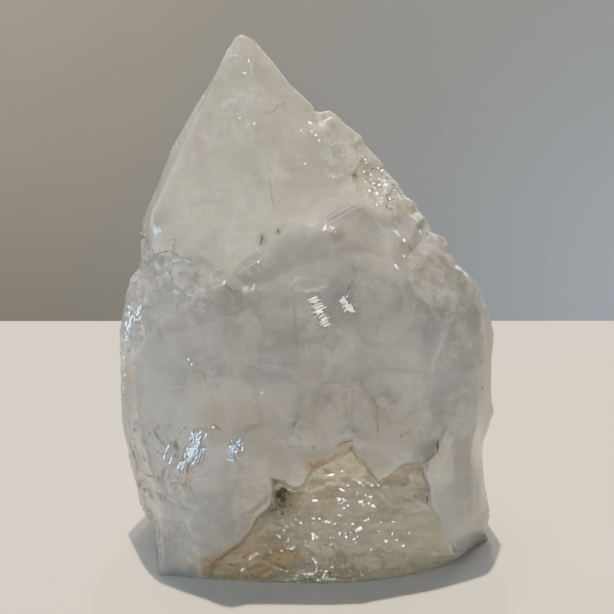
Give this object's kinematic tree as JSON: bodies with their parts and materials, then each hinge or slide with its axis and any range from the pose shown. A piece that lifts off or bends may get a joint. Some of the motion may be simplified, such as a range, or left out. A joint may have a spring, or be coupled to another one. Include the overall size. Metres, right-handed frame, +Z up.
{
  "type": "clear quartz point",
  "caption": "Large raw milky quartz point, pale grey and translucent, with broken growth faces, rusty specks and a flat sawn base that it stands on.",
  "frame": {"origin": "on the resting plane, under the middle of the object's box in X and Y", "axes": "+Z up through the point, -Y the broken front with the hollow foot, +X to the right of that front"},
  "size_m": [0.1042, 0.0844, 0.1397],
  "materials": {
    "milky_quartz": "cloudy translucent crystal, glossy on its faces, frosted and stained in its breaks"
  },
  "bodies": {
    "root": {"quartz_point": "milky_quartz"}
  },
  "joints": []
}
